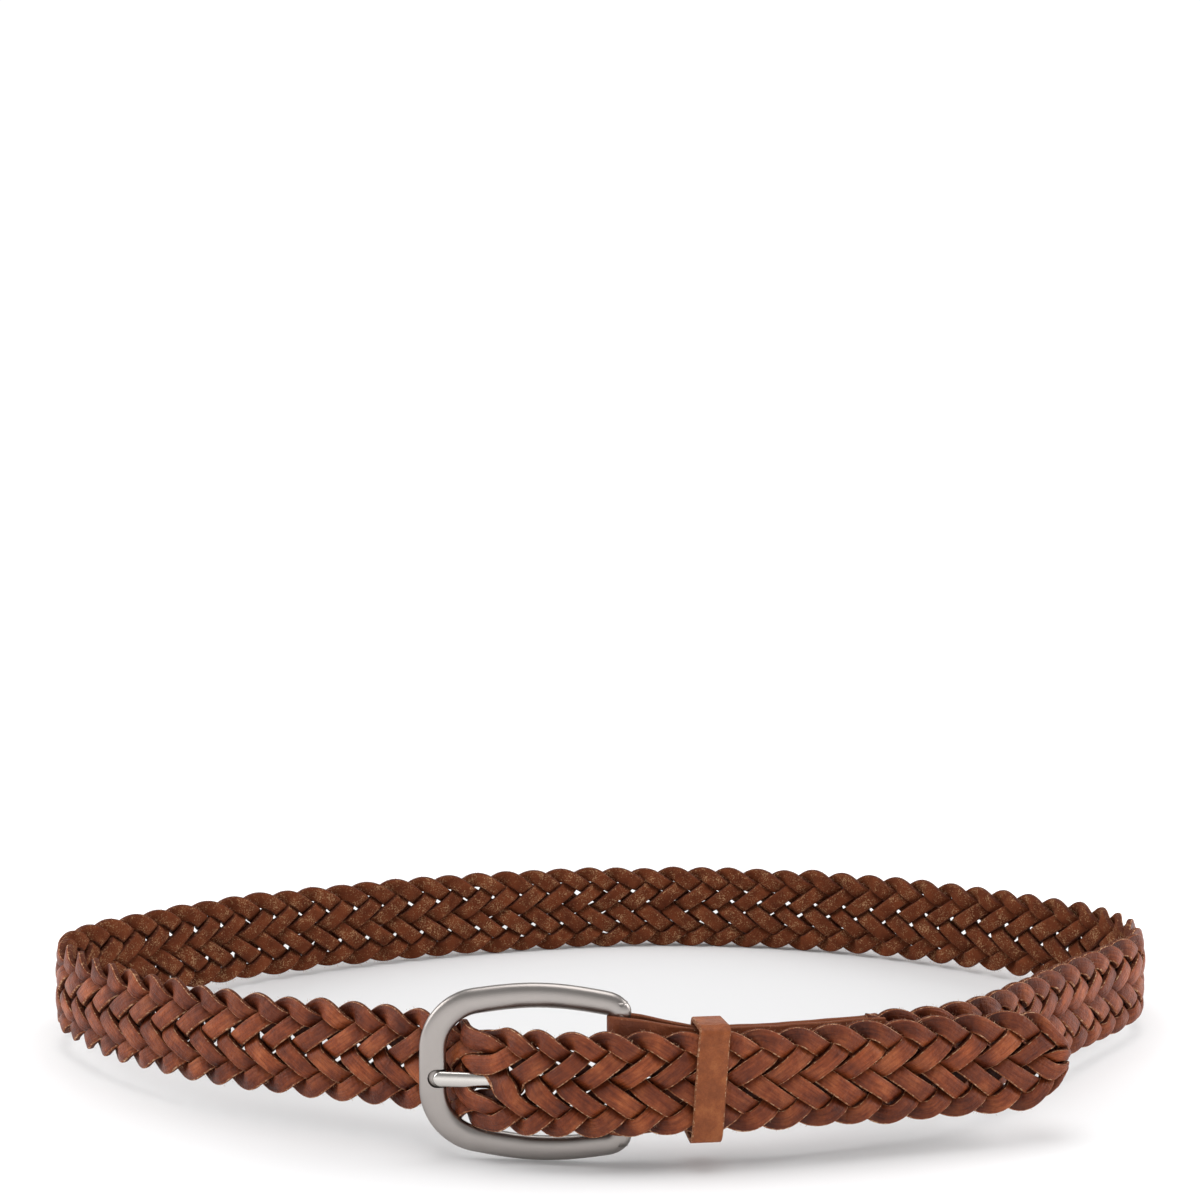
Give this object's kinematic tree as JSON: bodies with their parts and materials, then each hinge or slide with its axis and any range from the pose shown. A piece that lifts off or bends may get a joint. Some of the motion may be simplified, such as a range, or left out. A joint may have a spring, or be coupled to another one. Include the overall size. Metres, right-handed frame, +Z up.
{
  "type": "braided leather belt",
  "caption": "Braided leather dress belt, buckled into a standing loop, with a rounded single-prong frame buckle, folded chape and sliding keeper.",
  "frame": {"origin": "centre of the loop's footprint, on the surface that the belt stands on", "axes": "+X along the front, to the wearer's left as seen from the front; +Y from the buckle to the back of the loop; +Z up"},
  "size_m": [0.3636, 0.2533, 0.0528],
  "materials": {
    "lace_leather": "satin cognac grain, raw beige cut edges",
    "smooth_leather": "smooth satin cognac",
    "keeper_leather": "smooth satin light tan",
    "thread": "waxed brown thread",
    "satin_nickel": "fine satin",
    "polished_nickel": "polished"
  },
  "bodies": {
    "strap": {"chape": "smooth_leather", "chape_thread": "thread", "lace_1": "lace_leather", "lace_2": "lace_leather", "lace_3": "lace_leather", "lace_4": "lace_leather", "lace_5": "lace_leather", "lace_6": "lace_leather", "lace_7": "lace_leather"},
    "buckle": {"buckle_frame": "satin_nickel"},
    "prong": {"prong": "polished_nickel"},
    "keeper": {"keeper": "keeper_leather", "keeper_staple": "polished_nickel"}
  },
  "joints": [
    {"name": "buckle_swing", "type": "hinge", "parent": "strap", "child": "buckle", "pos_m": [0.00386, -0.11602, 0.01062], "axis": [0, 0.0439, 0.999], "range_deg": [0, 1.2]},
    {"name": "prong_lift", "type": "hinge", "parent": "buckle", "child": "prong", "pos_m": [0.00386, -0.11602, 0.01062], "axis": [0, 0.0439, 0.999], "range_deg": [0, 0.5]},
    {"name": "keeper_slide", "type": "hinge", "parent": "strap", "child": "keeper", "pos_m": [-0.00214, 0.10838, 0.00075], "axis": [0, 0.0439, 0.999], "range_deg": [-1, 5.5]}
  ]
}
